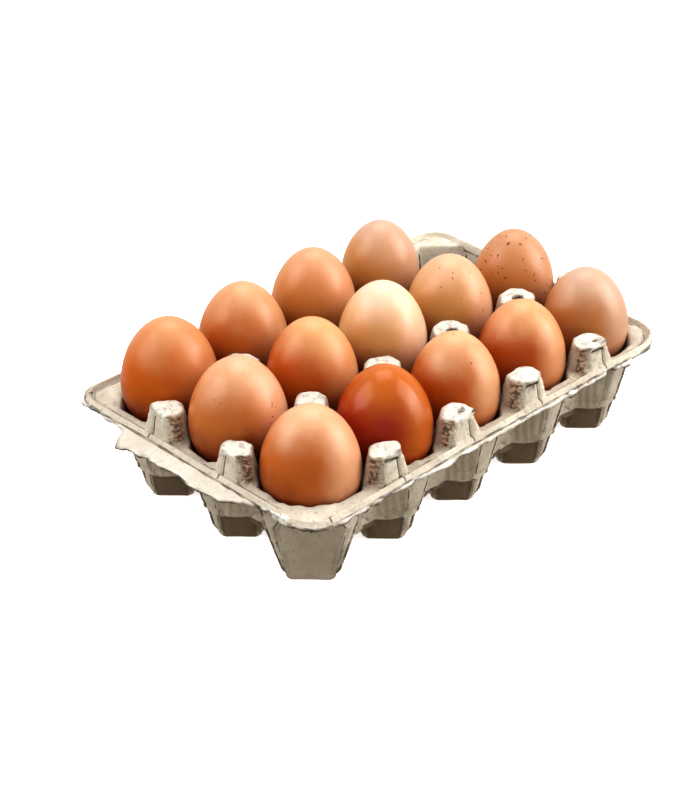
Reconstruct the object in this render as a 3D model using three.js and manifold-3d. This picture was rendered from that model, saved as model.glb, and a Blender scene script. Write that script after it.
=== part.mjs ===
// A moulded pulp egg tray for fifteen eggs, three rows of five, with fourteen brown hen's eggs standing in it,
// pointed end up. The pocket in the far corner is empty. Millimetres, +Z up, the tray stands on z = 0.
// Pocket (column, row) is counted from the corner nearest the viewer: columns run along +X, rows along +Y.

import * as THREE from 'three';
import { mergeVertices } from 'three/addons/utils/BufferGeometryUtils.js';
import Module from 'manifold-3d';

const wasm = await Module();
wasm.setup();

// The grid of pockets
const COLUMNS = 5;
const ROWS = 3;
const PITCH_X = 46.5;
const PITCH_Y = 48;

// Pulp wall, the same wall measured level through a sloping face, and the gap left round each egg
const WALL = 2;
const WALL_LEVEL = 2.08;
const EGG_GAP = 0.3;

// Heights
const BRIDGE_TOP = 12;
const BRIDGE_REACH = 15.5;
const STEP_HEIGHT = 13;
const STEP_RISE = 1.2;
const RIM_TOP = 48;
const INNER_POST_TOP = 68;
const EDGE_POST_TOP = 62.5;
const ABOVE_ALL = 80;
const UNDER_FOOT = -3;
const BELOW_ALL = -20;

// A pocket is an eight-sided bowl. Its long sides face the posts at the four corners of the cell, and its short sides
// face the neighbouring pockets or the rim. Distances are from the pocket's axis to the outside of the wall. The two
// long sides towards (-X, +Y) and (+X, -Y) are drawn in near the foot by the bevel.
const FOOT_TO_POST = 12.2;
const FOOT_TO_SIDE = 14.6;
const FOOT_ROUNDING = 2.5;
const FOOT_CORNER = 0.8;
const FOOT_BEVEL = 2.6;
const FOOT_BEVEL_TOP = 7.5;
const TO_POST_SLOPE = 0.21;
const TO_SIDE_SLOPE = 0.2225;
const STEP_PROUD = 1.3;
const DEFAULT_SEAT = 21.9;
const FLANK_SLOPE = 0.19;
const SEAT_SEARCH_STEP = 0.25;

// Posts
const POST_TOP_WALL = 2.2;
const POST_SIDE_AT_TOP = 8.8;
const POST_SIDE_SLOPE = 0.19;
const POST_CHAMFER = 2.5;
const POST_CHAMFER_IN = 1.6;
const POST_CORNER_AT_TOP = 8.4;
const POST_CORNER_SLOPE = 0.3;
const EDGE_POST_OUT_AT_TOP = 4.4;
const EDGE_POST_OUT_SLOPE = 0.12;
const EDGE_POST_CHAMFER = 7.6;
const EDGE_POST_CHAMFER_SLOPE = 0.17;
const FAR_POST_CHAMFER = 7.3;
const HOLE_RADIUS = 3.2;
const HOLE_LENGTH = 12;
const HOLE_FACETS = 10;
const POSTS_WITH_HOLES = [[3, 1], [4, 1]];

// Rim, measured outwards from the edge of the cells: a flat collar, a bead and a flange that turns down
const BEAD_START = 5.2;
const BEAD_CREST = [6.4, 8.2];
const BEAD_HEIGHT = 3;
const BEAD_END = 9.3;
const BEAD_END_HEIGHT = 1;
const FLANGE_EDGE = 11.2;
const FLANGE_DROP = 0.4;
const COLLAR_START = -8.5;
const COLLAR_FOOT = -15;
const COLLAR_SHIFT = 1;
const CLEAR_OF_RIM = 5;
const RIM_CORNER_RADIUS = 4.7;
const SHARP_RADIUS = 0.3;
const FAR_SIDE_SETBACK = 4.5;
const ARC_STEPS = 4;
const SIDE_STEPS_LONG = 9;
const SIDE_STEPS_SHORT = 6;
const RAGGED_EDGE = 1;
const RAGGED_DROP = 0.5;

// The torn flap on the near short side: how far its edge stands out from the cells along +Y, measured from the
// axis of the nearest row of pockets
const FLAP_OUTLINE = [[-6, 8.5], [6, 10.6], [14, 17], [28, 18.6], [45, 16.6], [62, 17.8], [77, 18.8], [84.5, 21.5],
  [86.5, 18.5], [88.5, 14], [93, 10.4], [99, 8.5]];
const FLAP_REACH = 21.5;
const FLAP_THICKNESS = 1.8;
const FLAP_DROP = 0.1;
const FLAP_DROOP = 0.18;

// Eggs: pocket, largest width, length, height of the widest level, colour
const EGGS = [
  [0, 0, 46.4, 57.5, 52.4, 0xc98a5c], [1, 0, 45.9, 57.5, 53.6, 0xa54a14], [2, 0, 43.6, 56.5, 53.2, 0xcf8752],
  [3, 0, 43.7, 56, 52.6, 0xbf6a38], [4, 0, 42.8, 55.5, 52.9, 0xb9795a],
  [0, 1, 46.6, 58.5, 56.4, 0xd6a070], [1, 1, 44.1, 58, 59, 0xcd7b42], [2, 1, 43.8, 58, 60.6, 0xe3bb92],
  [3, 1, 43.3, 56.5, 58.4, 0xd08e5c], [4, 1, 40.9, 53.5, 57.2, 0xb66c40],
  [0, 2, 46.6, 59, 57.4, 0xc4703c], [1, 2, 43.8, 57.5, 59.4, 0xc97640], [2, 2, 42.4, 56.5, 61.2, 0xc8794a],
  [3, 2, 39.9, 53.5, 61.4, 0xc79070],
];
const EGG_WIDEST_FROM_BOTTOM = 0.44;
const EGG_POINT_TAPER = 0.07;
const EGG_LEVELS = 10;
const EGG_FACETS = 14;

const SHELL_ROUGHNESS = 0.42;
const PULP_COLOUR = 0xc9c0b0;
const PULP_ROUGHNESS = 0.95;

// The middle of the whole outline, flap included, lies over the origin
const CENTRE_X = (PITCH_X * COLUMNS - FAR_SIDE_SETBACK + FLANGE_EDGE - FLAP_REACH) / 2 - PITCH_X / 2;
const CENTRE_Y = PITCH_Y * (ROWS - 1) / 2;
const pocketX = (column) => column * PITCH_X - CENTRE_X;
const pocketY = (row) => row * PITCH_Y - CENTRE_Y;

// A repeatable draw between -1 and 1
function seededDraw(seed) {
  let state = seed;
  return () => {
    state = (state * 1664525 + 1013904223) % 4294967296;
    return state / 2147483648 - 1;
  };
}

function solidFromGeometry(geometry) {
  const bare = geometry.clone();
  bare.deleteAttribute('normal');
  bare.deleteAttribute('uv');
  const merged = mergeVertices(bare, 1e-4);
  const numbers = Float32Array.from(merged.attributes.position.array);
  const triangles = Uint32Array.from(merged.index.array);
  return new wasm.Manifold(new wasm.Mesh({ numProp: 3, vertProperties: numbers, triVerts: triangles }));
}

// The cuts leave a few loose crumbs of pulp, which are dropped
function largestPiece(solid) {
  return solid.decompose().reduce((best, piece) => (piece.numTri() > best.numTri() ? piece : best));
}

function geometryFromSolid(solid) {
  const mesh = solid.getMesh();
  const geometry = new THREE.BufferGeometry();
  geometry.setAttribute('position', new THREE.BufferAttribute(Float32Array.from(mesh.vertProperties), 3));
  geometry.setIndex(new THREE.BufferAttribute(Uint32Array.from(mesh.triVerts), 1));
  geometry.computeVertexNormals();
  return geometry;
}

// Closes a stack of rings, each an equal number of points counted anticlockwise from above, into a solid
function loft(rings) {
  const count = rings[0].length;
  const positions = rings.flat(2);
  const triangles = [];
  for (let level = 0; level < rings.length - 1; level += 1) {
    for (let i = 0; i < count; i += 1) {
      const next = (i + 1) % count;
      const a = level * count + i;
      const b = level * count + next;
      triangles.push(a, b, b + count, a, b + count, a + count);
    }
  }
  const top = (rings.length - 1) * count;
  for (let i = 1; i < count - 1; i += 1) {
    triangles.push(0, i + 1, i, top, top + i, top + i + 1);
  }
  const geometry = new THREE.BufferGeometry();
  geometry.setAttribute('position', new THREE.BufferAttribute(new Float32Array(positions), 3));
  geometry.setIndex(triangles);
  return solidFromGeometry(geometry);
}

// Eight-sided ring round (x, y) at height z: sides[i] is the distance to the side that faces i times 45 degrees
function octagon(x, y, z, sides) {
  const turn = Math.PI / 4;
  return sides.map((side, i) => {
    const next = sides[(i + 1) % 8];
    const along = (next - side * Math.cos(turn)) / Math.sin(turn);
    const angle = i * turn;
    return [
      x + side * Math.cos(angle) - along * Math.sin(angle),
      y + side * Math.sin(angle) + along * Math.cos(angle),
      z,
    ];
  });
}

// Radius of an egg at a height over the ground
function eggRadius(egg, z) {
  const [, , width, length, widest] = egg;
  const rise = z - widest;
  const half = rise < 0 ? length * EGG_WIDEST_FROM_BOTTOM : length * (1 - EGG_WIDEST_FROM_BOTTOM);
  const share = Math.min(1, Math.abs(rise) / half);
  const taper = rise < 0 ? 1 : 1 - EGG_POINT_TAPER * share * share;
  return width / 2 * Math.sqrt(1 - share * share) * taper;
}

const toPostBelowStep = (z) => FOOT_TO_POST + TO_POST_SLOPE * z;
const toPostAboveStep = (z) => toPostBelowStep(z) + STEP_PROUD;
const toSide = (z) => FOOT_TO_SIDE + TO_SIDE_SLOPE * z;

// How far from the pocket's axis the flanks stand at rim height, so that the egg rests on all four
function seatReach(egg) {
  const flankStart = STEP_HEIGHT + STEP_RISE + WALL / 2;
  const startReach = toPostAboveStep(flankStart) - WALL_LEVEL;
  let reach = 0;
  for (let z = flankStart + 1; z < INNER_POST_TOP; z += SEAT_SEARCH_STEP) {
    const radius = eggRadius(egg, z) + EGG_GAP;
    const share = (z - flankStart) / (RIM_TOP - flankStart);
    const needed = z < RIM_TOP
      ? startReach + (radius - startReach) / share
      : radius - FLANK_SLOPE * (z - RIM_TOP);
    if (radius > startReach) reach = Math.max(reach, needed);
  }
  return reach;
}

// The bowl's outside, or with inside set its hollow
function pocketSolid(column, row, egg, inside) {
  const inset = inside ? WALL_LEVEL : 0;
  const lift = inside ? WALL : 0;
  const seat = (egg ? seatReach(egg) : DEFAULT_SEAT) + WALL_LEVEL;
  const footTop = FOOT_ROUNDING + lift;
  const stepFoot = STEP_HEIGHT + lift / 2;
  const stepHead = stepFoot + STEP_RISE;
  const floorToPost = toPostBelowStep(lift) - FOOT_CORNER;
  const floorToSide = toSide(lift) - FOOT_CORNER;
  const levels = [
    [lift, floorToPost, floorToSide],
    [footTop, toPostBelowStep(footTop), toSide(footTop)],
    [FOOT_BEVEL_TOP, toPostBelowStep(FOOT_BEVEL_TOP), toSide(FOOT_BEVEL_TOP)],
    [stepFoot, toPostBelowStep(stepFoot), toSide(stepFoot)],
    [stepHead, toPostAboveStep(stepHead), toSide(stepHead)],
    [RIM_TOP, seat, toSide(RIM_TOP)],
    [ABOVE_ALL, seat + FLANK_SLOPE * (ABOVE_ALL - RIM_TOP), toSide(ABOVE_ALL)],
  ];
  if (!inside) levels.unshift([UNDER_FOOT, floorToPost, floorToSide]);
  return loft(levels.map(([z, post, side]) => {
    const bevel = FOOT_BEVEL * Math.min(1, Math.max(0, 1 - z / FOOT_BEVEL_TOP));
    const sides = [0, 1, 2, 3].flatMap((turn) => [side - inset, post - inset - (turn % 2 ? bevel : 0)]);
    return octagon(pocketX(column), pocketY(row), z, sides);
  }));
}

// A post stands where four cells meet. outward is the side, 0 to 3, that faces the rim, or -1 for an inner post.
// Its corner sides are cut back later by the pockets, except the two that face the rim.
function postSolid(cornerX, cornerY, outward, inside) {
  const top = (outward < 0 ? INNER_POST_TOP : EDGE_POST_TOP) - (inside ? POST_TOP_WALL : 0);
  const thinner = inside ? WALL : 0;
  const setback = outward === 0 ? FAR_SIDE_SETBACK / 2 : 0;
  const chamfer = outward === 0 ? FAR_POST_CHAMFER : EDGE_POST_CHAMFER;
  const ring = (z, narrower) => {
    const down = Math.max(0, top - POST_CHAMFER - z);
    const sides = [];
    for (let side = 0; side < 4; side += 1) {
      const faceOut = EDGE_POST_OUT_AT_TOP - setback + EDGE_POST_OUT_SLOPE * down;
      const face = side === outward ? faceOut : POST_SIDE_AT_TOP + POST_SIDE_SLOPE * down;
      const byRim = side === outward || (side + 1) % 4 === outward;
      const corner = byRim
        ? chamfer + EDGE_POST_CHAMFER_SLOPE * down
        : POST_CORNER_AT_TOP + POST_CORNER_SLOPE * down;
      sides.push(face - thinner - narrower, corner - thinner - narrower);
    }
    return octagon(cornerX, cornerY, z, sides);
  };
  return loft([ring(inside ? BELOW_ALL : UNDER_FOOT, 0), ring(top - POST_CHAMFER, 0), ring(top, POST_CHAMFER_IN)]);
}

// Stations round the rim. Each gives the place of a point that lies a distance out from the edge of the cells: the
// line at every distance is a rectangle with rounded corners, which are sharp where the line lies well inside.
function rimStations() {
  const near = -PITCH_X / 2 - CENTRE_X;
  const far = near + PITCH_X * COLUMNS - FAR_SIDE_SETBACK;
  const right = -PITCH_Y / 2 - CENTRE_Y;
  const left = right + PITCH_Y * ROWS;
  const corners = [[far, right, -90], [far, left, 0], [near, left, 90], [near, right, 180]];
  const cornerPoint = ([x, y], angle, out) => {
    const radius = Math.max(SHARP_RADIUS, RIM_CORNER_RADIUS + out);
    const inset = out - radius;
    return [
      x + Math.sign(x) * inset + radius * Math.cos(angle),
      y + Math.sign(y) * inset + radius * Math.sin(angle),
    ];
  };
  const stations = [];
  corners.forEach((corner, index) => {
    const angleAt = (step) => THREE.MathUtils.degToRad(corner[2] + 90 * step / ARC_STEPS);
    for (let step = 0; step <= ARC_STEPS; step += 1) {
      stations.push((out) => cornerPoint(corner, angleAt(step), out));
    }
    const next = corners[(index + 1) % 4];
    const steps = index % 2 === 0 ? SIDE_STEPS_SHORT : SIDE_STEPS_LONG;
    for (let step = 1; step < steps; step += 1) {
      const share = step / steps;
      stations.push((out) => {
        const start = cornerPoint(corner, angleAt(ARC_STEPS), out);
        const end = cornerPoint(next, angleAt(ARC_STEPS), out);
        return [start[0] + (end[0] - start[0]) * share, start[1] + (end[1] - start[1]) * share];
      });
    }
  });
  return stations;
}

// Sweeps a section, a function from the station's index to points [out, z], round the rim
function rimSolid(section) {
  const rings = rimStations().map((place, index) => section(index).map(([out, z]) => [...place(out), z]));
  const count = rings[0].length;
  const triangles = [];
  rings.forEach((ring, index) => {
    const here = index * count;
    const there = ((index + 1) % rings.length) * count;
    for (let i = 0; i < count; i += 1) {
      const next = (i + 1) % count;
      triangles.push(here + i, there + next, there + i, here + i, here + next, there + next);
    }
  });
  const geometry = new THREE.BufferGeometry();
  geometry.setAttribute('position', new THREE.BufferAttribute(new Float32Array(rings.flat(2)), 3));
  geometry.setIndex(triangles);
  return solidFromGeometry(geometry);
}

// The rim's upper surface over a straight foot, or with inside set the space under the rim
function rimSection(inside) {
  const draw = seededDraw(7);
  const ragged = rimStations().map(() => [RAGGED_EDGE * draw(), RAGGED_DROP * draw()]);
  const drop = inside ? WALL : 0;
  const bottom = inside ? BELOW_ALL : UNDER_FOOT;
  const shift = inside ? COLLAR_SHIFT : 0;
  return (index) => {
    const [wander, dip] = ragged[index];
    const edge = FLANGE_EDGE - Math.abs(wander);
    const edgeHeight = RIM_TOP - FLANGE_DROP - drop + dip;
    const points = [
      [COLLAR_FOOT + shift, BRIDGE_TOP - drop], [COLLAR_START + shift, RIM_TOP - drop],
      [BEAD_START, RIM_TOP - drop], [BEAD_CREST[0], RIM_TOP + BEAD_HEIGHT - drop],
      [BEAD_CREST[1], RIM_TOP + BEAD_HEIGHT - drop], [BEAD_END, RIM_TOP + BEAD_END_HEIGHT - drop + dip],
      [edge, edgeHeight],
    ];
    if (inside) points.push([edge + CLEAR_OF_RIM, edgeHeight], [edge + CLEAR_OF_RIM, bottom]);
    else points.push([edge, bottom]);
    points.push([COLLAR_FOOT + shift, bottom]);
    return points;
  };
}

function box(minX, minY, minZ, maxX, maxY, maxZ) {
  const geometry = new THREE.BoxGeometry(maxX - minX, maxY - minY, maxZ - minZ);
  geometry.translate((minX + maxX) / 2, (minY + maxY) / 2, (minZ + maxZ) / 2);
  return solidFromGeometry(geometry);
}

// A flat plate in the shape of the flap's outline, sheared so that it droops outwards from the flange
function flapSolid() {
  const edge = -PITCH_X / 2 - CENTRE_X;
  const outline = FLAP_OUTLINE.map(([along, out]) => new THREE.Vector2(edge - out, along - CENTRE_Y));
  const geometry = new THREE.ExtrudeGeometry(new THREE.Shape(outline), { depth: FLAP_THICKNESS, bevelEnabled: false });
  const position = geometry.attributes.position;
  for (let i = 0; i < position.count; i += 1) {
    const out = edge - position.getX(i);
    const top = RIM_TOP - FLANGE_DROP - FLAP_DROP - FLAP_DROOP * (out - FLANGE_EDGE);
    position.setZ(i, top - FLAP_THICKNESS + position.getZ(i));
  }
  return solidFromGeometry(geometry);
}

function holeCutter(cornerX, cornerY) {
  const geometry = new THREE.CylinderGeometry(HOLE_RADIUS, HOLE_RADIUS, HOLE_LENGTH, HOLE_FACETS);
  geometry.rotateX(Math.PI / 2);
  geometry.translate(cornerX, cornerY, INNER_POST_TOP);
  return solidFromGeometry(geometry);
}

// The corners of the grid that carry a post, with the side that faces the rim
function postPlaces() {
  const places = [];
  for (let i = 0; i <= COLUMNS; i += 1) {
    for (let j = 0; j <= ROWS; j += 1) {
      const endX = i === 0 || i === COLUMNS;
      const endY = j === 0 || j === ROWS;
      if (endX && endY) continue;
      const outward = i === COLUMNS ? 0 : j === ROWS ? 1 : i === 0 ? 2 : j === 0 ? 3 : -1;
      const setback = i === COLUMNS ? FAR_SIDE_SETBACK / 2 : 0;
      places.push({ i, j, x: pocketX(i - 0.5) - setback, y: pocketY(j - 0.5), outward });
    }
  }
  return places;
}

// The tray is what lies under its upper surface and over its lower surface
function traySolid() {
  const posts = postPlaces();
  const eggAt = (column, row) => EGGS.find((egg) => egg[0] === column && egg[1] === row);
  const pockets = [];
  for (let column = 0; column < COLUMNS; column += 1) {
    for (let row = 0; row < ROWS; row += 1) {
      pockets.push([column, row, eggAt(column, row)]);
    }
  }
  const reachX = pocketX(COLUMNS) + PITCH_X;
  const reachY = pocketY(ROWS) + PITCH_Y;
  const bridges = box(pocketX(0) - BRIDGE_REACH, pocketY(0) - BRIDGE_REACH, UNDER_FOOT,
    pocketX(COLUMNS - 1) + BRIDGE_REACH, pocketY(ROWS - 1) + BRIDGE_REACH, BRIDGE_TOP);
  let upper = bridges.add(rimSolid(rimSection(false)));
  posts.forEach((post) => { upper = upper.add(postSolid(post.x, post.y, post.outward, false)); });
  pockets.forEach(([column, row, egg]) => { upper = upper.subtract(pocketSolid(column, row, egg, true)); });

  let lower = box(-reachX, -reachY, BELOW_ALL, reachX, reachY, BRIDGE_TOP - WALL);
  lower = lower.add(rimSolid(rimSection(true)));
  posts.forEach((post) => { lower = lower.add(postSolid(post.x, post.y, post.outward, true)); });
  pockets.forEach(([column, row, egg]) => { lower = lower.subtract(pocketSolid(column, row, egg, false)); });

  let tray = upper.subtract(lower).subtract(box(-reachX, -reachY, BELOW_ALL, reachX, reachY, 0)).add(flapSolid());
  posts.filter(({ i, j }) => POSTS_WITH_HOLES.some(([column, row]) => column === i && row === j))
    .forEach((post) => { tray = tray.subtract(holeCutter(post.x, post.y)); });
  return largestPiece(tray);
}

function eggGeometry(egg) {
  const [, , , length, widest] = egg;
  const bottom = widest - length * EGG_WIDEST_FROM_BOTTOM;
  const profile = [];
  for (let level = 0; level <= EGG_LEVELS; level += 1) {
    const angle = Math.PI * level / EGG_LEVELS;
    const z = bottom + length * (1 - Math.cos(angle)) / 2;
    const radius = level === 0 || level === EGG_LEVELS ? 0 : eggRadius(egg, z);
    profile.push(new THREE.Vector2(radius, z));
  }
  const geometry = new THREE.LatheGeometry(profile, EGG_FACETS);
  geometry.rotateX(Math.PI / 2);
  return geometry;
}

const group = new THREE.Group();

const pulp = new THREE.MeshStandardMaterial({ color: PULP_COLOUR, roughness: PULP_ROUGHNESS, metalness: 0 });
const tray = new THREE.Mesh(geometryFromSolid(traySolid()), pulp);
tray.name = 'tray';
group.add(tray);

EGGS.forEach((egg) => {
  const [column, row, , , , colour] = egg;
  const shell = new THREE.MeshStandardMaterial({ color: colour, roughness: SHELL_ROUGHNESS, metalness: 0 });
  const mesh = new THREE.Mesh(eggGeometry(egg), shell);
  mesh.position.set(pocketX(column), pocketY(row), 0);
  mesh.name = `egg_${column + 1}_${row + 1}`;
  group.add(mesh);
});

export default group;
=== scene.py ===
# A moulded pulp egg tray with fourteen brown eggs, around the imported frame.

import math

import bpy
import numpy as np
import openvdb
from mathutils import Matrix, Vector


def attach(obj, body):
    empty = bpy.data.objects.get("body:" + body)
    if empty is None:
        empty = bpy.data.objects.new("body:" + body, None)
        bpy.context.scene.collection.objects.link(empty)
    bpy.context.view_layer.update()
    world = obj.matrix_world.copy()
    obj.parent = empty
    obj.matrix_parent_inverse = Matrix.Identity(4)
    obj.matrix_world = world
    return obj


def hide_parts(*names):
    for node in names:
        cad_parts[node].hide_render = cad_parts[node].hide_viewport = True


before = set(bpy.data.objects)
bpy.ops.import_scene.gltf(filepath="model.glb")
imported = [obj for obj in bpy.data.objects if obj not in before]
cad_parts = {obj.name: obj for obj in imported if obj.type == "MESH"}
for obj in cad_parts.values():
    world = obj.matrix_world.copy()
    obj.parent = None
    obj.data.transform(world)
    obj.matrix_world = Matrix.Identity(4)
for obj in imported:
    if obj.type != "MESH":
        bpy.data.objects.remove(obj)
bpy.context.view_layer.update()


# The studio: a long lens that looks down on the corner of the tray, a white floor and soft white light.
# Nothing here belongs to the object.
LOOK_AT = Vector((0.0287, 0.04407, 0.0))
AZIMUTH = math.radians(225.71)
ELEVATION = math.radians(31.32)
DISTANCE = 1.2406
LENS = 125.1
FLOOR_HALF = 6.0
DISPLAY_GAMMA = 0.72

away = Vector((
    math.cos(ELEVATION) * math.cos(AZIMUTH),
    math.cos(ELEVATION) * math.sin(AZIMUTH),
    math.sin(ELEVATION),
))
camera_data = bpy.data.cameras.new("camera")
camera_data.lens = LENS
camera_data.sensor_fit = "HORIZONTAL"
camera_data.sensor_width = 36.0
camera_data.clip_end = 50.0
camera = bpy.data.objects.new("camera", camera_data)
camera.location = LOOK_AT + away * DISTANCE
camera.rotation_euler = (-away).to_track_quat("-Z", "Y").to_euler()
bpy.context.collection.objects.link(camera)
bpy.context.scene.camera = camera
bpy.context.scene.view_settings.view_transform = "Standard"
bpy.context.scene.view_settings.gamma = DISPLAY_GAMMA


class Value:
    """A shader or geometry socket that takes part in Python sums."""

    def __init__(self, tree, socket):
        self.tree = tree
        self.socket = socket

    def node(self, kind, settings=None, inputs=None, out=0):
        made = self.tree.nodes.new(kind)
        for name, value in (settings or {}).items():
            if name == "stops":
                ramp = made.color_ramp
                while len(ramp.elements) < len(value):
                    ramp.elements.new(0.5)
                for element, (place, colour) in zip(ramp.elements, value):
                    element.position = place
                    element.color = (*colour, 1.0)
            else:
                setattr(made, name, value)
        for key, value in (inputs or {}).items():
            if isinstance(value, Value):
                self.tree.links.new(value.socket, made.inputs[key])
            else:
                made.inputs[key].default_value = value
        return Value(self.tree, made.outputs[out])

    def sum(self, operation, *others):
        """A Math node on this and the other terms."""
        terms = dict(enumerate((self, *others)))
        return self.node("ShaderNodeMath", {"operation": operation}, terms)

    def __add__(self, other):
        return self.sum("ADD", other)

    def __sub__(self, other):
        return self.sum("SUBTRACT", other)

    def __mul__(self, other):
        return self.sum("MULTIPLY", other)

    def __gt__(self, other):
        return self.sum("GREATER_THAN", other)

    def __abs__(self):
        return self.sum("ABSOLUTE")

    def __radd__(self, other):
        return self + other

    def __rmul__(self, other):
        return self * other

    def __rsub__(self, other):
        return self.node("ShaderNodeMath", {"operation": "SUBTRACT"}, {0: other, 1: self})

    def between(self, low, high):
        """0 below low, 1 above high, smooth on the way."""
        return self.node(
            "ShaderNodeMapRange", {"interpolation_type": "SMOOTHSTEP"},
            {"Value": self, "From Min": low, "From Max": high},
        )

    def blend(self, first, second):
        """A colour: first where this is 0, second where it is 1."""
        made = self.tree.nodes.new("ShaderNodeMix")
        made.data_type = "RGBA"
        colours = [s for s in made.inputs if s.type == "RGBA"]
        self.tree.links.new(self.socket, made.inputs[0])
        for socket, colour in zip(colours, (first, second)):
            if isinstance(colour, Value):
                self.tree.links.new(colour.socket, socket)
            else:
                socket.default_value = (*colour, 1.0)
        result = next(s for s in made.outputs if s.type == "RGBA")
        return Value(self.tree, result)


def new_material(name):
    """An empty material, its shader and a Value to build from."""
    material = bpy.data.materials.new(name)
    material.use_nodes = True
    tree = material.node_tree
    shader = tree.nodes["Principled BSDF"]
    place = tree.nodes.new("ShaderNodeTexCoord")
    return material, shader, Value(tree, place.outputs["Object"])


def plug(value, shader, name):
    value.tree.links.new(value.socket, shader.inputs[name])


floor_mesh = bpy.data.meshes.new("floor")
floor_mesh.from_pydata(
    [(x * FLOOR_HALF, y * FLOOR_HALF, 0.0) for x, y in ((-1, -1), (1, -1), (1, 1), (-1, 1))],
    [], [(0, 1, 2, 3)],
)
floor = bpy.data.objects.new("floor", floor_mesh)
bpy.context.collection.objects.link(floor)
paper, shader, place = new_material("white_paper")
speck = place.node("ShaderNodeTexNoise", {}, {"Vector": place, "Scale": 40.0})
plug(speck.blend((0.86, 0.86, 0.86), (0.88, 0.88, 0.88)), shader, "Base Color")
shader.inputs["Roughness"].default_value = 0.9
shader.inputs["Emission Color"].default_value = (1.0, 1.0, 1.0, 1.0)
shader.inputs["Emission Strength"].default_value = 0.75
floor_mesh.materials.append(paper)
# It stays white, and sends no light back to the object
floor.visible_diffuse = False
floor.visible_glossy = False

# The room is pale overhead and behind the tray, dimmer on the viewer's side and darkest underneath, as over a
# table that gives back little light
BEHIND_X, BEHIND_Y = 0.70, 0.71
ROOM_STOPS = [
    (0.0, (0.34, 0.29, 0.22)),
    (0.42, (0.52, 0.46, 0.38)),
    (0.56, (0.86, 0.84, 0.80)),
    (1.0, (0.72, 0.72, 0.72)),
]
world = bpy.data.worlds.new("white_room")
world.use_nodes = True
room = world.node_tree
direction = Value(room, room.nodes.new("ShaderNodeTexCoord").outputs["Generated"])
upward = room.nodes.new("ShaderNodeSeparateXYZ")
room.links.new(direction.socket, upward.inputs[0])
height = Value(room, upward.outputs[2]) * 0.5 + 0.5
glow = height.node("ShaderNodeValToRGB", {"stops": ROOM_STOPS}, {0: height})
behind = Value(room, upward.outputs[0]) * BEHIND_X + Value(room, upward.outputs[1]) * BEHIND_Y
glow = (behind.between(-0.1, 0.7) * 0.85).blend(glow, (1.0, 1.0, 1.0))
room.links.new(glow.socket, room.nodes["Background"].inputs["Color"])
bpy.context.scene.world = world

# Name, direction and height in degrees, distance and size in metres, and watts
SOFTBOXES = [
    ("softbox_left", 146.0, 34.0, 1.3, 1.0, 10.0),
    ("softbox_right", 314.0, 34.0, 1.3, 1.0, 12.0),
    ("softbox_low", 318.0, 14.0, 1.3, 0.8, 6.0),
    ("softbox_above", 50.0, 68.0, 1.4, 1.0, 9.5),
]
for name, turn, rise, far_away, size, watts in SOFTBOXES:
    turn, rise = math.radians(turn), math.radians(rise)
    spot = far_away * Vector((
        math.cos(rise) * math.cos(turn),
        math.cos(rise) * math.sin(turn),
        math.sin(rise),
    ))
    light_data = bpy.data.lights.new(name, "AREA")
    light_data.shape = "SQUARE"
    light_data.size = size
    light_data.energy = watts
    light = bpy.data.objects.new(name, light_data)
    light.location = spot
    light.rotation_euler = (-spot).to_track_quat("-Z", "Y").to_euler()
    bpy.context.collection.objects.link(light)


# The tray: one sheet of grey paper pulp, sucked onto a wire mould and dried. Fifteen eight-sided bowls hang
# between tall hollow posts, in a beaded rim with a ragged flange that was torn to a flap on one side. Its upper
# surface is a field over a grid of points, and the sheet is a wall's thickness under it. Sizes are millimetres.
COLUMNS, ROWS = 5, 3
PITCH_X, PITCH_Y = 46.5, 48.0
CENTRE_X, CENTRE_Y = 85.6, 48.0
WALL = 2.0
BRIDGE_TOP = 12.0
RIM_TOP = 48.0
INNER_POST_TOP = 68.0
EDGE_POST_TOP = 62.5
FOOT_TO_POST, FOOT_TO_SIDE = 12.2, 14.5
POST_FLARE, SIDE_FLARE = 0.21, 0.2225
INSIDE = 2.08
STEP_HEIGHT = 14.2
STEP_PROUD = 1.3
STEP_START = 15.2
START_REACH = FOOT_TO_POST + POST_FLARE * STEP_START + STEP_PROUD - INSIDE
FLANK_SLOPE = 0.19
DIAGONAL = 0.7071
DEFAULT_SEAT = 21.9
FAR_SIDE_SETBACK = 4.5
GRID_STEP = 0.62
NEAR = -PITCH_X / 2 - CENTRE_X
FAR = NEAR + PITCH_X * COLUMNS - FAR_SIDE_SETBACK
RIGHT = -PITCH_Y / 2 - CENTRE_Y
LEFT = RIGHT + PITCH_Y * ROWS

# Eggs: pocket, largest width, length, height of the widest level
EGGS = [
    (0, 0, 46.4, 57.5, 52.4), (1, 0, 45.9, 57.5, 53.6), (2, 0, 43.6, 56.5, 53.2),
    (3, 0, 43.7, 56.0, 52.6), (4, 0, 42.8, 55.5, 52.9),
    (0, 1, 46.6, 58.5, 56.4), (1, 1, 44.1, 58.0, 59.0), (2, 1, 43.8, 58.0, 60.6),
    (3, 1, 43.3, 56.5, 58.4), (4, 1, 40.9, 53.5, 57.2),
    (0, 2, 46.6, 59.0, 57.4), (1, 2, 43.8, 57.5, 59.4), (2, 2, 42.4, 56.5, 61.2),
    (3, 2, 39.9, 53.5, 61.4),
]
EGG_LOWER_SHARE = 0.44
EGG_POINT_TAPER = 0.07
EGG_GAP = 0.3


def axis_points(low, high):
    return np.arange(low, high, GRID_STEP, dtype=np.float32)


xs = axis_points(NEAR - 24.0, FAR + 13.0)
ys = axis_points(RIGHT - 14.5, LEFT + 13.0)
zs = axis_points(-2.5 * GRID_STEP, INNER_POST_TOP + 2.5)
X = xs[:, None, None]
Y = ys[None, :, None]
Z = zs[None, None, :]
plan_x = X[:, :, 0]
plan_y = Y[:, :, 0]
grid_shape = (len(xs), len(ys), len(zs))


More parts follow.
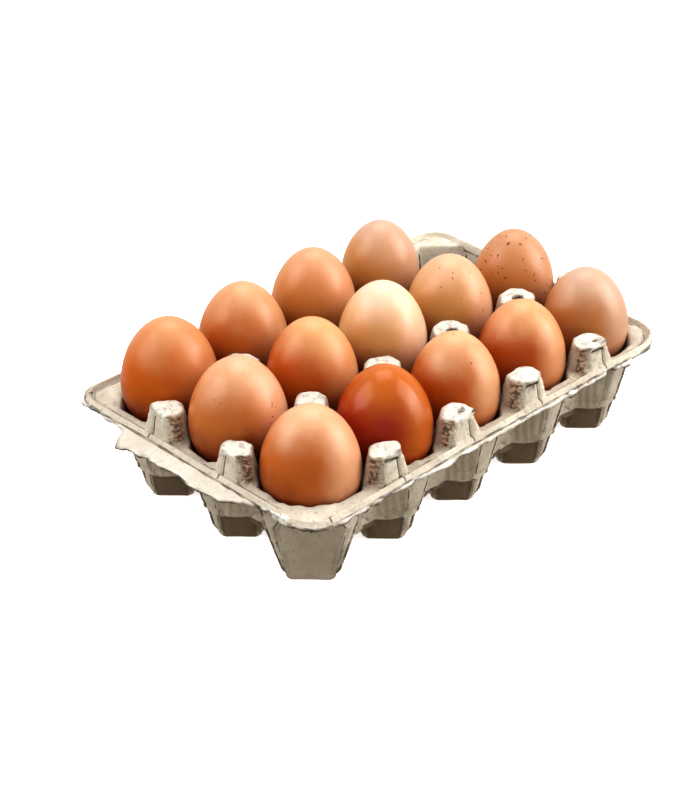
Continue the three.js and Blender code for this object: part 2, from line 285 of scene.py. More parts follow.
def soft_max(a, b, blend):
    """The larger of two fields, rounded over a width of about blend where they cross."""
    share = np.clip(0.5 + 0.5 * (b - a) / blend, 0.0, 1.0)
    return a + (b - a) * share + blend * share * (1.0 - share)


def soft_min(a, b, blend):
    return -soft_max(-a, -b, blend)


def lumps(size, seed):
    """Smooth noise of about -1 to 1 over the grid, with lumps of the given sizes along X, Y and Z."""
    draw = np.random.default_rng(seed)
    counts = []
    weights = []
    for points, width in zip((xs, ys, zs), size):
        place = (points - points[0]) / width
        first = np.floor(place).astype(int)
        part = place - first
        count = first[-1] + 4
        table = np.zeros((len(points), count), np.float32)
        rows = np.arange(len(points))
        table[rows, first] = (1 - part) ** 3 / 6
        table[rows, first + 1] = (3 * part ** 3 - 6 * part ** 2 + 4) / 6
        table[rows, first + 2] = (-3 * part ** 3 + 3 * part ** 2 + 3 * part + 1) / 6
        table[rows, first + 3] = part ** 3 / 6
        counts.append(count)
        weights.append(table)
    field = draw.uniform(-2.4, 2.4, counts).astype(np.float32)
    field = np.tensordot(weights[0], field, (1, 0))
    field = np.tensordot(weights[1], field, (1, 1)).transpose(1, 0, 2)
    return np.tensordot(field, weights[2], (2, 1))


def egg_radius(egg, z):
    """The radius of an egg at each height."""
    _, _, width, length, widest = egg
    rise = z - widest
    half = np.where(rise < 0, length * EGG_LOWER_SHARE, length * (1 - EGG_LOWER_SHARE))
    share = np.minimum(1.0, np.abs(rise) / half)
    taper = np.where(rise < 0, 1.0, 1 - EGG_POINT_TAPER * share ** 2)
    return width / 2 * np.sqrt(1 - share ** 2) * taper


def seat_reach(egg):
    """How far out the bowl's flanks stand at rim height, so that the egg touches all four."""
    z = np.arange(STEP_START + 1.0, INNER_POST_TOP, 0.25)
    radius = egg_radius(egg, z) + EGG_GAP
    needed = np.where(
        z < RIM_TOP,
        START_REACH + (radius - START_REACH) / ((z - STEP_START) / (RIM_TOP - STEP_START)),
        radius - FLANK_SLOPE * (z - RIM_TOP),
    )
    return needed[radius > START_REACH].max()


# Noise that all parts of the sheet share
broad = lumps((22.0, 22.0, 16.0), 3)
small = lumps((3.4, 3.4, 2.6), 4)
pebbles = lumps((2.4, 2.4, 1.8), 5)

# How far a point lies outside the edge of the cells, with rounded corners
SHARP_CORNER, ROUND_CORNER = 4.7, 12.0
right_end = (plan_x > (NEAR + FAR) / 2) & (plan_y < (RIGHT + LEFT) / 2)
corner_radius = np.where(right_end, ROUND_CORNER, SHARP_CORNER)
across_x = np.abs(plan_x - (NEAR + FAR) / 2) - ((FAR - NEAR) / 2 - corner_radius)
across_y = np.abs(plan_y - (RIGHT + LEFT) / 2) - ((LEFT - RIGHT) / 2 - corner_radius)
out = np.hypot(np.maximum(across_x, 0), np.maximum(across_y, 0)) - corner_radius
out = out + np.minimum(np.maximum(across_x, across_y), 0)
beyond_cells = out[:, :, None]

# The rim's height by distance outwards: flat collar, bead, groove, flange and flap
RIM_PROFILE = [
    (-30, RIM_TOP), (4.4, RIM_TOP), (5.0, 47.8), (5.6, 48.9), (6.3, 50.4), (6.9, 50.9), (7.6, 50.6),
    (8.2, 49.5), (8.7, 48.7), (9.3, 48.8), (10.1, 48.5), (12.0, 47.5), (30.0, 44.2),
]
# The bead wanders: it stands further out near the front corner
along_right = np.interp(xs, [NEAR - 15, NEAR + 25, NEAR + 90, FAR], [1.4, 1.5, -0.6, -1.2])[:, None]
along_left = np.interp(ys, [RIGHT - 15, RIGHT + 30, LEFT], [1.3, 0.2, 0.0])[None, :]
on_right = np.clip((across_y - across_x) / 12 + 0.5, 0, 1) * (plan_y < 0)
wander = along_right * on_right + along_left * (1 - on_right) * (plan_x < 0)
profile = np.interp(out - wander, *zip(*RIM_PROFILE)).astype(np.float32)
rim_level = int(np.searchsorted(zs, RIM_TOP))
swell = np.clip(1.6 * broad[:, :, rim_level] + 1.1 * small[:, :, rim_level] + 0.2, 0, 1)
profile = profile + 1.3 * swell * np.clip((4.9 - out + wander) / 0.6, 0, 1)
# Under the rim, between the outer bowls, the surface falls to the saddles
SADDLE_SETBACK, SADDLE_LEAN = 15.0, 6.5
collar_wall = (-SADDLE_SETBACK + (Z - BRIDGE_TOP) * SADDLE_LEAN / (RIM_TOP - BRIDGE_TOP)) - beyond_cells
edge_lift = 1.4 * broad * np.clip((beyond_cells - 11.0) / 5.0, 0, 1)
edge_lift = edge_lift + 0.5 * small * np.clip((beyond_cells - 9.5) / 1.5, 0, 1)
rim = soft_max(Z - profile[:, :, None] - edge_lift, collar_wall, 1.2)
upper = soft_min(rim, Z - BRIDGE_TOP, 3.0)


def cut(centre, reach, points):
    """The part of an axis that lies within reach of a centre."""
    first = int(np.searchsorted(points, centre - reach))
    last = int(np.searchsorted(points, centre + reach))
    return slice(first, last)


# Posts: hollow eight-sided towers at the corners of the cells. The outer faces are smooth, with a crease, and
# the faces beside them are puckered. Some tops are slit, torn or have a hole.
POST_REACH = 24.0
POST_HALF = 8.8
CAP_HEIGHT = 2.5
OUTER_FACE, OUTER_SLOPE = 4.4, 0.12
CHAMFER, NEAR_CHAMFER, CHAMFER_SLOPE = 6.6, 6.5, 0.18
HOLED_POSTS = ((3, 1), (4, 1))
HOLE_RADIUS = 3.0
TORN_POSTS = ((2, 0), (4, 0))
SLIT_POSTS = (1, 3, 4)
SLIT_HALF_LENGTH = 4.2


def crease_place(j, down):
    """How far along the outer face of a rim post its crease lies."""
    return (3.0 if j == 0 else -2.6) * (1 + 0.03 * down)


for i in range(COLUMNS + 1):
    for j in range(ROWS + 1):
        sides_met = (i in (0, COLUMNS)) + (j in (0, ROWS))
        if sides_met == 2:
            continue
        far_post = i == COLUMNS
        post_x = (i - 0.5) * PITCH_X - CENTRE_X - (FAR_SIDE_SETBACK / 2 if far_post else 0.0)
        post_y = (j - 0.5) * PITCH_Y - CENTRE_Y
        here = (cut(post_x, POST_REACH, xs), cut(post_y, POST_REACH, ys), slice(None))
        dx = X[here[0]] - post_x
        dy = Y[:, here[1]] - post_y
        top = EDGE_POST_TOP if sides_met else INNER_POST_TOP
        down = np.maximum(0.0, top - CAP_HEIGHT - Z)
        face = POST_HALF + FLANK_SLOPE * down
        body = np.maximum(np.abs(dx) - face, np.abs(dy) - face)
        if sides_met:
            if far_post:
                outward, sideways, back, chamfer = dx, dy, FAR_SIDE_SETBACK / 2, CHAMFER
            elif i == 0:
                outward, sideways, back, chamfer = -dx, -dy, 0.0, CHAMFER
            elif j == 0:
                outward, sideways, back, chamfer = -dy, dx, 0.0, NEAR_CHAMFER
            else:
                outward, sideways, back, chamfer = dy, -dx, 0.0, CHAMFER
            weave = np.sin(Z * 2.1 + sideways * 1.7 + small[here])
            weave = weave * np.sin(Z * 1.5 - sideways * 2.3 + broad[here])
            pucker = 0.6 * pebbles[here] + 0.3 * small[here] + 0.55 * weave
            flat = outward - (OUTER_FACE - back + OUTER_SLOPE * down)
            crease = np.abs(sideways - crease_place(j, down))
            flat = flat + 0.9 * np.exp(-(crease / 0.6) ** 2) * (Z < top - 3)
            body = soft_max(body, flat, 0.5)
            far_side = sideways > 0 if j == 0 else sideways < 0
            chamfer = chamfer + CHAMFER_SLOPE * down + far_side * (0.7 + 0.11 * down)
            beside = (outward + np.abs(sideways)) * DIAGONAL - chamfer
            body = soft_max(body, beside + pucker * (Z > RIM_TOP + 1), 0.5)
        rough_top = Z - top + 0.6 * small[here] + 0.5 * pebbles[here]
        body = soft_max(body, rough_top, 1.0)
        if j == 0 and i in SLIT_POSTS:
            gap = np.abs(Z - (top - 2.6) + 0.12 * sideways) - 0.62
            gap = np.maximum(gap, np.abs(sideways + 0.4) - SLIT_HALF_LENGTH)
            body = np.maximum(body, -np.maximum(gap, 1.0 - outward))
        if (i, j) in TORN_POSTS:
            torn = np.sqrt((sideways - 2.6) ** 2 / 2.2 + (outward + 0.5) ** 2) - 1.5 + 0.5 * small[here]
            body = np.maximum(body, -np.maximum(torn, top - 6 - Z))
        upper[here] = soft_min(upper[here], body, 1.6)

# Bowls: the hollows that the eggs stand in. The sides that face the posts step outwards above a wavy line and
# are faintly ribbed over it. The foot is drawn in on two sides, and a narrow fold runs down by each corner.
# The bowl in the near corner is plain, with a wider face towards the viewer.
BOWL_REACH = 31.0
FOOT_BEVEL, FOOT_BEVEL_TOP = 4.2, 5.2
eggs_by_pocket = {(egg[0], egg[1]): egg for egg in EGGS}


def bowl_faces(signed_x, signed_y, z, column, row, wave, ripple):
    """How far a point lies outside the bowl's sides and its post faces, and above the wavy line."""
    egg = eggs_by_pocket.get((column, row))
    seat = seat_reach(egg) if egg else DEFAULT_SEAT
    plain = column == 0 and row == 0
    dx = np.abs(signed_x)
    dy = np.abs(signed_y)
    over = z - (STEP_HEIGHT + 1.3 * wave + 0.5 * ripple)
    below = FOOT_TO_POST + POST_FLARE * z - INSIDE
    above = np.where(
        z < RIM_TOP,
        START_REACH + (seat - START_REACH) * (z - STEP_START) / (RIM_TOP - STEP_START),
        seat + FLANK_SLOPE * (z - RIM_TOP),
    )
    across = (dx - dy) * DIAGONAL
    if plain:
        to_post = np.where(z < STEP_START, below + STEP_PROUD * np.clip(z / STEP_START, 0, 1), above)
    else:
        proud = np.clip(over / 0.8 + 0.5, 0, 1)
        lip = 0.5 * np.exp(-((over - 0.9) / 0.9) ** 2)
        middle = np.clip((9 - np.abs(across)) / 3, 0, 1)
        ribs = 0.30 * np.sin(across * 1.75 + 2.0 * wave) * np.clip(over / 3, 0, 1) * (z < 42)
        to_post = below + (above - below) * proud + lip + ribs * middle
    bevel = np.clip(1 - z / FOOT_BEVEL_TOP, 0, 1)
    to_post = to_post - FOOT_BEVEL * bevel * (signed_x * signed_y < 0)
    to_side = FOOT_TO_SIDE + SIDE_FLARE * z - INSIDE - 0.6 * bevel
    past_post = (dx + dy) * DIAGONAL - to_post
    if plain:
        wide = (1.4 + 0.09 * z) * np.clip((44 - z) / 10, 0, 1)
        return dx - to_side - wide * (signed_x < 0), dy - to_side - wide * (signed_y < 0), past_post, over
    side_over = z - (19.0 + 1.5 * wave + 0.6 * ripple)
    to_side = to_side + 0.8 * np.clip(side_over / 0.8 + 0.5, 0, 1)
    return dx - to_side, dy - to_side, past_post, over


hollow = np.full(grid_shape, 12.0, np.float32)
folds = np.zeros(grid_shape, np.float32)
for column in range(COLUMNS):
    for row in range(ROWS):
        bowl_x = column * PITCH_X - CENTRE_X
        bowl_y = row * PITCH_Y - CENTRE_Y
        here = (cut(bowl_x, BOWL_REACH, xs), cut(bowl_y, BOWL_REACH, ys), slice(None))
        face_x, face_y, face_post, over = bowl_faces(
            X[here[0]] - bowl_x, Y[:, here[1]] - bowl_y, Z, column, row, broad[here], small[here],
        )
        corner = np.abs(np.maximum(face_x, face_y) - face_post)
        fold = np.exp(-((corner - 1.0) / 0.42) ** 2)
        fold = fold * np.clip(1.2 + 1.6 * broad[here] + 0.9 * small[here], 0, 1)
        fold = fold * np.clip((Z - 2.5) / 1.5, 0, 1)
        bowl = soft_max(soft_max(face_x, face_y, 0.6), face_post, 0.6) * 0.977
        bowl = bowl + 0.3 * pebbles[here] * (Z > RIM_TOP + 1)
        bowl = bowl + 0.55 * small[here] * np.clip((Z - 42) / 4, 0, 1) * np.clip((52 - Z) / 3, 0, 1)
        bowl = soft_max(bowl, WALL - Z, 1.6)
        near = bowl < hollow[here]
        folds[here] = np.where(near, fold, folds[here])
        hollow[here] = np.minimum(hollow[here], bowl)

surface = soft_max(upper, -hollow, 0.9)
surface = surface + 0.18 * broad + 0.10 * small

# The flange's ragged edge, and the flap where it was torn: place along the rows of three, distance outwards
EDGE_REACH, CALM_REACH = 10.4, 8.1
FLAP_OUTLINE = [
    (-40, EDGE_REACH), (-8, 9.6), (6, 10.6), (14, 17.0), (28, 18.6), (45, 16.6), (62, 17.8), (77, 18.8),
    (84.5, 21.5), (86.5, 18.5), (88.5, 14.0), (93, EDGE_REACH), (99, 9.4), (130, EDGE_REACH),
]
edge_right = np.interp(xs, [NEAR - 15, NEAR + 25, NEAR + 80, FAR], [11.6, 12.0, 10.0, 9.0])[:, None]
edge_left = np.interp(ys + CENTRE_Y, *zip(*FLAP_OUTLINE))[None, :]
edge = np.where(on_right > 0.5, edge_right, EDGE_REACH)
edge = np.where((on_right <= 0.5) & (plan_x < 0) & (across_x > across_y), edge_left, edge)
# The flange is narrow and even round the far right corner
calm = np.clip((plan_x - (FAR - 24)) / 10, 0, 1) * np.clip((RIGHT + 24 - plan_y) / 10, 0, 1)
edge = (edge + calm * (CALM_REACH - edge))[:, :, None]
edge = edge + (1.1 * small + 0.8 * broad + 0.7 * pebbles) * (1 - 0.65 * calm[:, :, None])
thickness = WALL - 0.8 * np.clip((beyond_cells - 9.5) / 3.0, 0, 1)
under = surface + thickness - 0.9 * folds * (hollow > 1.0) * (Z < RIM_TOP - 2)
sheet = np.maximum(surface, -under)
sheet = soft_max(sheet, beyond_cells - edge, 0.4)
for i, j in HOLED_POSTS:
    hole_x = (i - 0.5) * PITCH_X - CENTRE_X
    hole_y = (j - 0.5) * PITCH_Y - CENTRE_Y
    hole = HOLE_RADIUS - np.hypot(X - hole_x, (Y - hole_y) * 1.1)
    sheet = np.where(Z > RIM_TOP, np.maximum(sheet, hole), sheet)
sheet = np.maximum(sheet, -Z)

# The field becomes a mesh, which is thinned where the sheet is even
TRIANGLES_WANTED = 190000
grid = openvdb.FloatGrid()
grid.copyFromArray(np.clip(sheet / GRID_STEP, -3, 3).astype(np.float32))
points, quads = grid.convertToQuads(0.0)
points = points * GRID_STEP + np.array([xs[0], ys[0], zs[0]])

tray_mesh = bpy.data.meshes.new("pulp_tray")
tray_mesh.vertices.add(len(points))
tray_mesh.vertices.foreach_set("co", (points / 1000.0).astype(np.float32).ravel())
tray_mesh.loops.add(len(quads) * 4)
tray_mesh.loops.foreach_set("vertex_index", quads[:, ::-1].astype(np.int32).ravel())
tray_mesh.polygons.add(len(quads))
tray_mesh.polygons.foreach_set("loop_start", np.arange(0, len(quads) * 4, 4, dtype=np.int32))
tray_mesh.update(calc_edges=True)
tray_mesh.validate()
tray = bpy.data.objects.new("pulp_tray", tray_mesh)
bpy.context.collection.objects.link(tray)

thin = tray.modifiers.new("thin", "DECIMATE")
thin.ratio = min(1.0, TRIANGLES_WANTED / (2 * len(quads)))
shown = tray.evaluated_get(bpy.context.evaluated_depsgraph_get())
tray_mesh = bpy.data.meshes.new_from_object(shown)
tray.modifiers.clear()
tray.data = tray_mesh
tray_mesh.shade_smooth()

# Where the sheet bends inwards or outwards, from each vertex and its neighbours, for painted shade in creases
# and paler convex edges
count = len(tray_mesh.vertices)
spots = np.empty(count * 3, np.float32)
tray_mesh.vertices.foreach_get("co", spots)
spots = spots.reshape(-1, 3) * 1000.0
facing = np.empty(count * 3, np.float32)
tray_mesh.vertex_normals.foreach_get("vector", facing)
facing = facing.reshape(-1, 3)
pairs = np.empty(len(tray_mesh.edges) * 2, np.int32)
tray_mesh.edges.foreach_get("vertices", pairs)
firsts, seconds = pairs.reshape(-1, 2).T


def mean_of_neighbours(values):
    total = np.zeros_like(values)
    np.add.at(total, firsts, values[seconds])
    np.add.at(total, seconds, values[firsts])
    return total / np.maximum(meetings, 1)


meetings = np.zeros(count, np.float32)
np.add.at(meetings, pairs, 1)
span = spots[seconds] - spots[firsts]
lengths = (span ** 2).sum(axis=1)
bend = np.zeros(count, np.float32)
np.add.at(bend, firsts, (span * facing[firsts]).sum(axis=1) / lengths)
np.add.at(bend, seconds, -(span * facing[seconds]).sum(axis=1) / lengths)
bend = bend / np.maximum(meetings, 1)
for _ in range(3):
    bend = 0.5 * bend + 0.5 * mean_of_neighbours(bend)

# What the finish needs to know at each vertex: the distance outside the cells and from the torn edge, the
# bowl's nearest corner, the height over its wavy line, and the distance from a post's crease
grid_place = np.stack([
    np.clip(np.rint((spots[:, axis] - points_on[0]) / GRID_STEP).astype(int), 0, len(points_on) - 1)
    for axis, points_on in enumerate((xs, ys, zs))
])
wave_here = broad[tuple(grid_place)]
ripple_here = small[tuple(grid_place)]
outside = (out - wander)[grid_place[0], grid_place[1]]
vx, vy, vz = spots.T
torn_here = np.clip(1 - (edge[tuple(grid_place)] - out[grid_place[0], grid_place[1]]) / 1.5, 0, 1)
corner_here = np.zeros(count)
over_here = np.zeros(count)
nearest_column = np.clip(np.rint((vx + CENTRE_X) / PITCH_X), 0, COLUMNS - 1)
nearest_row = np.clip(np.rint((vy + CENTRE_Y) / PITCH_Y), 0, ROWS - 1)
for column in range(COLUMNS):
    for row in range(ROWS):
        mine = (nearest_column == column) & (nearest_row == row)
        face_x, face_y, face_post, over = bowl_faces(
            vx[mine] - (column * PITCH_X - CENTRE_X),
            vy[mine] - (row * PITCH_Y - CENTRE_Y),
            vz[mine], column, row, wave_here[mine], ripple_here[mine],
        )
        corner_here[mine] = np.maximum(face_x, face_y) - face_post
        over_here[mine] = over if (column, row) != (0, 0) else 30.0
in_pitches_x = (vx + CENTRE_X) / PITCH_X + 0.5
in_pitches_y = (vy + CENTRE_Y) / PITCH_Y + 0.5
down = np.maximum(0.0, EDGE_POST_TOP - CAP_HEIGHT - vz)
from_x = (in_pitches_x - np.rint(in_pitches_x)) * PITCH_X
from_y = (in_pitches_y - np.rint(in_pitches_y)) * PITCH_Y
crease_here = np.full(count, 9.0)
on_near = np.rint(in_pitches_y) == 0
crease_here[on_near] = (from_x - crease_place(0, down))[on_near]
on_left = (np.rint(in_pitches_x) == 0) & ~on_near
crease_here[on_left] = (-from_y - crease_place(1, down))[on_left]
# The side of a rim post that is cut off towards the viewer's corner, where the pulp is pitted and warm light
# from the eggs is painted
rough_here = np.zeros(count)
for mine, outward, sideways in ((on_near, -from_y, -from_x), (on_left, -from_x, -from_y)):
    beside = (outward + np.abs(sideways)) * DIAGONAL - CHAMFER - CHAMFER_SLOPE * down
    patch_here = np.clip((beside + 1.3) / 0.6, 0, 1) * np.clip(sideways, 0, 1) * np.clip(3.6 - outward, 0, 1)
    rough_here[mine] = patch_here[mine]
slit_here = np.zeros(count)
for i in SLIT_POSTS:
    along = vx - ((i - 0.5) * PITCH_X - CENTRE_X)
    gap = np.abs(vz - (EDGE_POST_TOP - 2.8) + 0.12 * along) - 0.35
    gap = np.maximum(gap, np.abs(along + 0.4) - SLIT_HALF_LENGTH)
    slit_here = np.maximum(slit_here, np.clip(1 - gap / 0.3, 0, 1) * on_near * (from_y < 0))
marks = {
    "slit": slit_here, "pitted": rough_here, "torn": torn_here, "bend": bend,
    "outside": outside, "corner": corner_here, "over_step": over_here, "crease": crease_here,
}
for name, values in marks.items():
    mark = tray_mesh.attributes.new(name, "FLOAT", "POINT")
    mark.data.foreach_set("value", np.asarray(values, np.float32))

# The finish: mottled grey pulp, paler on convex edges and where it was torn, with painted brown shade in
# hollows and creases
PULP_DARK, PULP_PALE, PULP_GRIT = (0.57, 0.510, 0.425), (0.67, 0.620, 0.535), (0.46, 0.405, 0.33)
CONVEX_PALE, POST_CAP = (0.80, 0.77, 0.71), (0.80, 0.78, 0.73)
FLANGE_GREY, FRAYED_FIBRE = (0.72, 0.695, 0.64), (0.88, 0.865, 0.82)
SCUFF, EGG_BOUNCE_BROWN = (0.33, 0.30, 0.26), (0.66, 0.41, 0.255)
HOLLOW_SHADE, PANEL_SHADE_BROWN = (0.15, 0.11, 0.075), (0.17, 0.115, 0.070)
CREASE_SHADE, FLECK = (0.075, 0.052, 0.035), (0.12, 0.09, 0.065)
pulp, shader, place = new_material("grey_pulp")


def tray_mark(name):
    return place.node("ShaderNodeAttribute", {"attribute_name": name}, {}, out=2)


def noise(scale, detail=3.0, roughness=0.55):
    return place.node(
        "ShaderNodeTexNoise", {}, {"Vector": place, "Scale": scale, "Detail": detail, "Roughness": roughness},
    )


def line(distance, width, softness):
    """1 on a line where the distance is 0, 0 away from it."""
    return 1 - abs(distance).between(width, width + softness)


axes = pulp.node_tree.nodes.new("ShaderNodeSeparateXYZ")
pulp.node_tree.links.new(place.socket, axes.inputs[0])
level = Value(pulp.node_tree, axes.outputs[2]) * 1000.0
fibre = noise(1300.0, 5.0, 0.7)
grit = noise(420.0)
cloud = noise(60.0, 5.0)
patch = noise(150.0, 2.0)
wobble = (noise(90.0, 2.0) - 0.5) * 1.6
bent = tray_mark("bend")
corner = tray_mark("corner")
over = tray_mark("over_step")
beyond = tray_mark("outside")

tint = cloud.between(0.30, 0.70).blend(PULP_DARK, PULP_PALE)
tint = grit.between(0.25, 0.45).blend(PULP_GRIT, tint)
# Paler on convex edges, where the sheet was torn, and on the tops
paler_convex = (-1.0 * bent).between(0.07, 0.32)
tint = paler_convex.blend(tint, CONVEX_PALE)
tint = (level.between(60.5, 61.5) * 0.55).blend(tint, POST_CAP)
flange = beyond.between(9.4, 10.4) * level.between(42.0, 43.0)
tint = (flange * 0.4).blend(tint, FLANGE_GREY)
frayed = tray_mark("torn").between(0.35, 0.85) * level.between(42.0, 43.0) * grit.between(0.32, 0.48)
tint = (frayed * 0.75).blend(tint, FRAYED_FIBRE)
scuffs = noise(360.0, 2.0).between(0.52, 0.62) * level.between(57.0, 59.0)
tint = (scuffs * 0.45).blend(tint, SCUFF)
# Where the posts are pitted: browner with painted warm light bounced from the eggs, and ridged like shingles
# with painted shade between the ridges
pitted = tray_mark("pitted") * level.between(49.0, 50.5)
tint = (pitted * 0.6).blend(tint, EGG_BOUNCE_BROWN)
shingles = (level * 2.4 + (noise(170.0, 2.0) - 0.5) * 16.0).sum("SINE")
shingles = shingles.between(0.45, 0.95) * pitted
# Painted shade: darker in hollows, under the wavy line of the bowls, in folds and creases
tint = bent.between(0.05, 0.30).blend(tint, HOLLOW_SHADE)
on_post_face = 1 - corner.between(-0.6, 0.4)
# Painted shade on the bowls' lower panels under the wavy line, low down beneath the rim and near the floor
panel_shade = (1 - over.between(-0.9, 0.1)) * on_post_face * (level > 1.0)
tint = (panel_shade * 0.80).blend(tint, PANEL_SHADE_BROWN)
fold = line(corner + wobble * 0.4 - 0.7, 0.10, 0.40) * (level > 3.0) * (1 - level.between(44.0, 46.0))
fold = fold * patch.between(0.30, 0.50)
groove = line(beyond + wobble * 0.25 - 9.3, 0.16, 0.60)
groove = groove.sum("MAXIMUM", line(beyond + wobble * 0.2 - 4.6, 0.0, 0.45))
groove = groove * (patch.between(0.35, 0.62) * 0.55 + 0.45)
groove = groove * level.between(45.5, 46.5) * (1 - level.between(49.5, 50.5))
post_line = line(tray_mark("crease") + wobble * 0.15, 0.12, 0.35)
post_line = post_line * level.between(48.5, 49.5) * (1 - level.between(58.5, 60.0))
under_lip = line(over + 0.5, 0.15, 0.45) * on_post_face * grit.between(0.35, 0.5)
pits = noise(520.0, 2.0, 0.5).between(0.50, 0.58) * pitted
pits = pits * (1 - level.between(61.0, 62.0))
slit = tray_mark("slit")
# Painted shade along the folds, pits, shingle ridges, slits, rim grooves, post creases and under the lips
shade_lines = fold
for drawn in (pits * 0.85, shingles * 0.65, slit, groove * 0.9, post_line, under_lip * 0.6):
    shade_lines = shade_lines.sum("MAXIMUM", drawn)
tint = (shade_lines * 0.85).blend(tint, CREASE_SHADE)
fleck = noise(260.0, 1.0).between(0.79, 0.84) * noise(40.0, 1.0).between(0.5, 0.65)
tint = (fleck * 0.8).blend(tint, FLECK)
plug(tint, shader, "Base Color")
shader.inputs["Roughness"].default_value = 0.9
shader.inputs["Specular IOR Level"].default_value = 0.25
relief = grit * 0.7 + fibre * 0.5 - shade_lines * 0.9
bump = place.node("ShaderNodeBump", {}, {"Strength": 0.8, "Distance": 0.0007, "Height": relief})
plug(bump, shader, "Normal")
tray_mesh.materials.clear()
tray_mesh.materials.append(pulp)
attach(tray, "root")
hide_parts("tray")


# The eggs: brown hen's eggs of uneven size and colour, pointed end up, each resting on the flanks of its
# bowl. One geometry tree shapes them all from a ball: two half ellipsoids that meet at the widest level, the
# upper one drawn in towards the point, with a slight unevenness of its own in each shell.
EGG_UNEVENNESS = 0.03


def egg_tree():
    tree = bpy.data.node_groups.new("egg_shape", "GeometryNodeTree")
    tree.interface.new_socket("Geometry", in_out="OUTPUT", socket_type="NodeSocketGeometry")
    sockets = {}
    for name in ("Width", "Length", "Across", "Along", "Widest Level", "Unevenness", "Seed"):
        entry = tree.interface.new_socket(name, in_out="INPUT", socket_type="NodeSocketFloat")
        sockets[name] = entry.identifier
    entry = tree.interface.new_socket("Shell", in_out="INPUT", socket_type="NodeSocketMaterial")
    sockets["Shell"] = entry.identifier
    given = tree.nodes.new("NodeGroupInput")
    start = Value(tree, given.outputs["Width"])

    def take(name):
        return Value(tree, given.outputs[name])

    ball = start.node("GeometryNodeMeshIcoSphere", {}, {"Radius": 1.0, "Subdivisions": 6})
    where = start.node("GeometryNodeInputPosition")
    axes = tree.nodes.new("ShaderNodeSeparateXYZ")
    tree.links.new(where.socket, axes.inputs[0])
    x, y, z = (Value(tree, socket) for socket in axes.outputs)
    above = z > 0.0
    half = take("Length") * (EGG_LOWER_SHARE + above * (1 - 2 * EGG_LOWER_SHARE))
    drawn_in = 1 - above * z * z * EGG_POINT_TAPER
    uneven = start.node(
        "ShaderNodeTexNoise", {"noise_dimensions": "4D"},
        {"Vector": where, "W": take("Seed"), "Scale": 0.9, "Detail": 0.0},
    )
    uneven = 1 + (uneven - 0.5) * take("Unevenness")
    reach = take("Width") * 0.5 * drawn_in * uneven
    spot = start.node("ShaderNodeCombineXYZ", {}, {
        0: x * reach + take("Across"),
        1: y * reach + take("Along"),
        2: z * half + take("Widest Level"),
    })
    placed = start.node("GeometryNodeSetPosition", {}, {"Geometry": ball, "Position": spot})
    smooth = start.node("GeometryNodeSetShadeSmooth", {}, {"Geometry": placed})
    real = start.node("GeometryNodeRealizeInstances", {}, {"Geometry": smooth})
    dressed = start.node("GeometryNodeSetMaterial", {}, {"Geometry": real, "Material": take("Shell")})
    given_out = tree.nodes.new("NodeGroupOutput")
    tree.links.new(dressed.socket, given_out.inputs[0])
    return tree, sockets


# Each shell's colour low down, at the widest level and at the cap, then its speckles and its gloss. The dark
# low colour is painted shade and warm bounce from the bowl, and the pale cap is painted light from above, over
# the shell's own colours
SHELLS = {
    (0, 0): ((0.15, 0.020, 0.002), (0.50, 0.147, 0.020), (0.69, 0.42, 0.26), 0.1, 0.2),
    (1, 0): ((0.28, 0.024, 0.0005), (0.33, 0.024, 0.0002), (0.50, 0.16, 0.02), 0.1, 1.0),
    (2, 0): ((0.42, 0.100, 0.012), (0.45, 0.100, 0.003), (0.68, 0.43, 0.25), 0.3, 0.3),
    (3, 0): ((0.30, 0.055, 0.006), (0.40, 0.078, 0.002), (0.66, 0.38, 0.20), 0.1, 0.4),
    (4, 0): ((0.38, 0.130, 0.045), (0.45, 0.190, 0.062), (0.56, 0.38, 0.28), 0.1, 0.3),
    (0, 1): ((0.25, 0.050, 0.010), (0.51, 0.180, 0.040), (0.71, 0.43, 0.28), 0.3, 0.3),
    (1, 1): ((0.34, 0.065, 0.006), (0.44, 0.097, 0.002), (0.65, 0.37, 0.18), 0.1, 0.3),
    (2, 1): ((0.30, 0.070, 0.015), (0.60, 0.345, 0.150), (0.76, 0.57, 0.43), 0.1, 0.3),
    (3, 1): ((0.30, 0.065, 0.014), (0.51, 0.265, 0.086), (0.67, 0.42, 0.28), 0.3, 0.3),
    (4, 1): ((0.27, 0.060, 0.013), (0.50, 0.210, 0.058), (0.54, 0.30, 0.18), 1.1, 0.3),
    (0, 2): ((0.25, 0.050, 0.010), (0.52, 0.130, 0.004), (0.60, 0.31, 0.15), 0.1, 0.3),
    (1, 2): ((0.25, 0.032, 0.003), (0.49, 0.145, 0.020), (0.61, 0.37, 0.21), 0.1, 0.3),
    (2, 2): ((0.30, 0.055, 0.010), (0.53, 0.225, 0.065), (0.62, 0.34, 0.20), 0.1, 0.3),
    (3, 2): ((0.27, 0.075, 0.022), (0.51, 0.250, 0.083), (0.57, 0.37, 0.27), 0.1, 0.3),
}
FEWEST_SPECKLES = 0.2
shape_tree, shape_sockets = egg_tree()
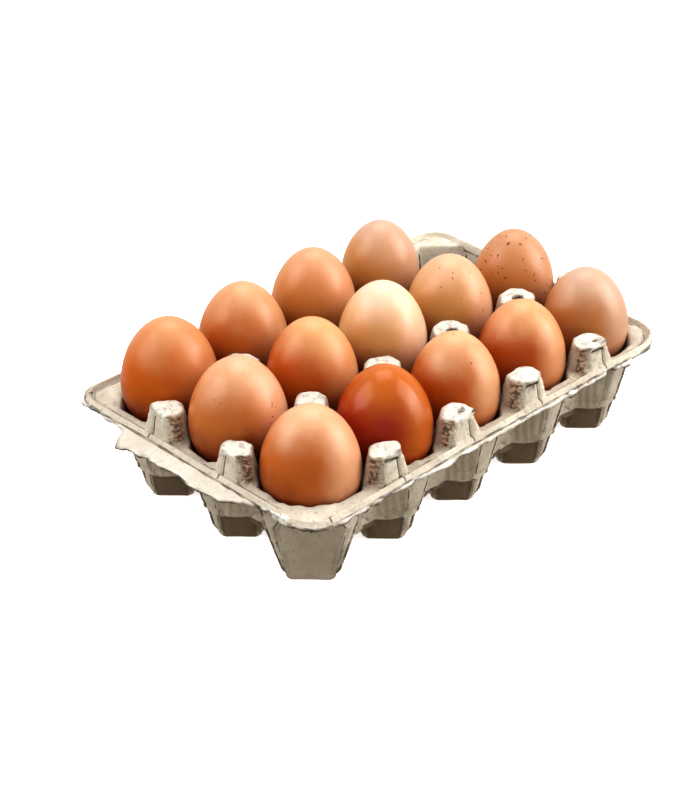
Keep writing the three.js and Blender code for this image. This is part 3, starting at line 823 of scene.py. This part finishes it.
for number, (column, row, width, length, widest) in enumerate(EGGS):
    name = "egg_%d_%d" % (column + 1, row + 1)
    low, side, cap, speckles, gloss = SHELLS[(column, row)]
    egg_x = (column * PITCH_X - CENTRE_X) / 1000
    egg_y = (row * PITCH_Y - CENTRE_Y) / 1000

    shell, shader, place = new_material("shell_" + name)
    axes = shell.node_tree.nodes.new("ShaderNodeSeparateXYZ")
    shell.node_tree.links.new(place.socket, axes.inputs[0])
    height = Value(shell.node_tree, axes.outputs[2])
    patches = place.node(
        "ShaderNodeTexNoise", {"noise_dimensions": "4D"},
        {"Vector": place, "W": number * 3.7, "Scale": 55.0, "Detail": 3.0},
    )
    level = height + (patches - 0.5) * 0.02

    def rise_between(start, end):
        """From 0 to 1 between two levels, as shares of the egg's length above its widest level."""
        return level.between((widest + length * start) / 1000, (widest + length * end) / 1000)

    # Painted light on the shell: dark low down in the bowl's shade, paler towards the cap that the light from
    # above reaches
    colour = rise_between(-0.17, 0.18).blend(low, side)
    colour = rise_between(0.20, 0.60).blend(colour, cap)
    # Painted light: the shell is paler on the side towards +X and -Y, which faces the softboxes at the right
    turned = Value(shell.node_tree, axes.outputs[0]) - egg_x
    turned = turned - (Value(shell.node_tree, axes.outputs[1]) - egg_y)
    painted_right_light = (turned + (patches - 0.5) * 0.012).between(width * 0.00008, width * 0.00050)
    painted_right_light = painted_right_light * rise_between(-0.30, 0.10)
    colour = (painted_right_light * 0.72).blend(colour, cap)
    pores = place.node("ShaderNodeTexNoise", {}, {"Vector": place, "Scale": 1500.0, "Detail": 2.0})
    colour = ((1 - pores.between(0.22, 0.42)) * 0.10).blend(colour, tuple(c * 0.4 for c in side))
    if speckles > FEWEST_SPECKLES:
        dots = place.node(
            "ShaderNodeTexNoise", {"noise_dimensions": "4D"},
            {"Vector": place, "W": number * 1.3, "Scale": 480.0, "Detail": 1.0},
        )
        dots = dots.between(0.74 - 0.08 * speckles, 0.78 - 0.08 * speckles)
        colour = (dots * 0.8).blend(colour, tuple(c * 0.6 for c in low))
    plug(colour, shader, "Base Color")
    shader.inputs["Roughness"].default_value = 0.36 - 0.12 * gloss
    shader.inputs["Specular IOR Level"].default_value = 0.42
    bump = place.node("ShaderNodeBump", {}, {"Strength": 0.06, "Distance": 0.0002, "Height": pores})
    plug(bump, shader, "Normal")

    piece = bpy.data.objects.new("eggshell_%d_%d" % (column + 1, row + 1), bpy.data.meshes.new("start"))
    bpy.context.collection.objects.link(piece)
    shaping = piece.modifiers.new("shape", "NODES")
    shaping.node_group = shape_tree
    settings = {
        "Width": width / 1000, "Length": length / 1000, "Across": egg_x, "Along": egg_y,
        "Widest Level": widest / 1000, "Unevenness": EGG_UNEVENNESS, "Seed": float(number), "Shell": shell,
    }
    for key, value in settings.items():
        shaping[shape_sockets[key]] = value
    piece.update_tag()
    shown = piece.evaluated_get(bpy.context.evaluated_depsgraph_get())
    egg_mesh = bpy.data.meshes.new_from_object(shown)
    piece.modifiers.clear()
    piece.data = egg_mesh
    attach(piece, "root")
    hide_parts(name)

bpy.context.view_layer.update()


def plain(box):
    return [[float(number) for number in corner] for corner in box]
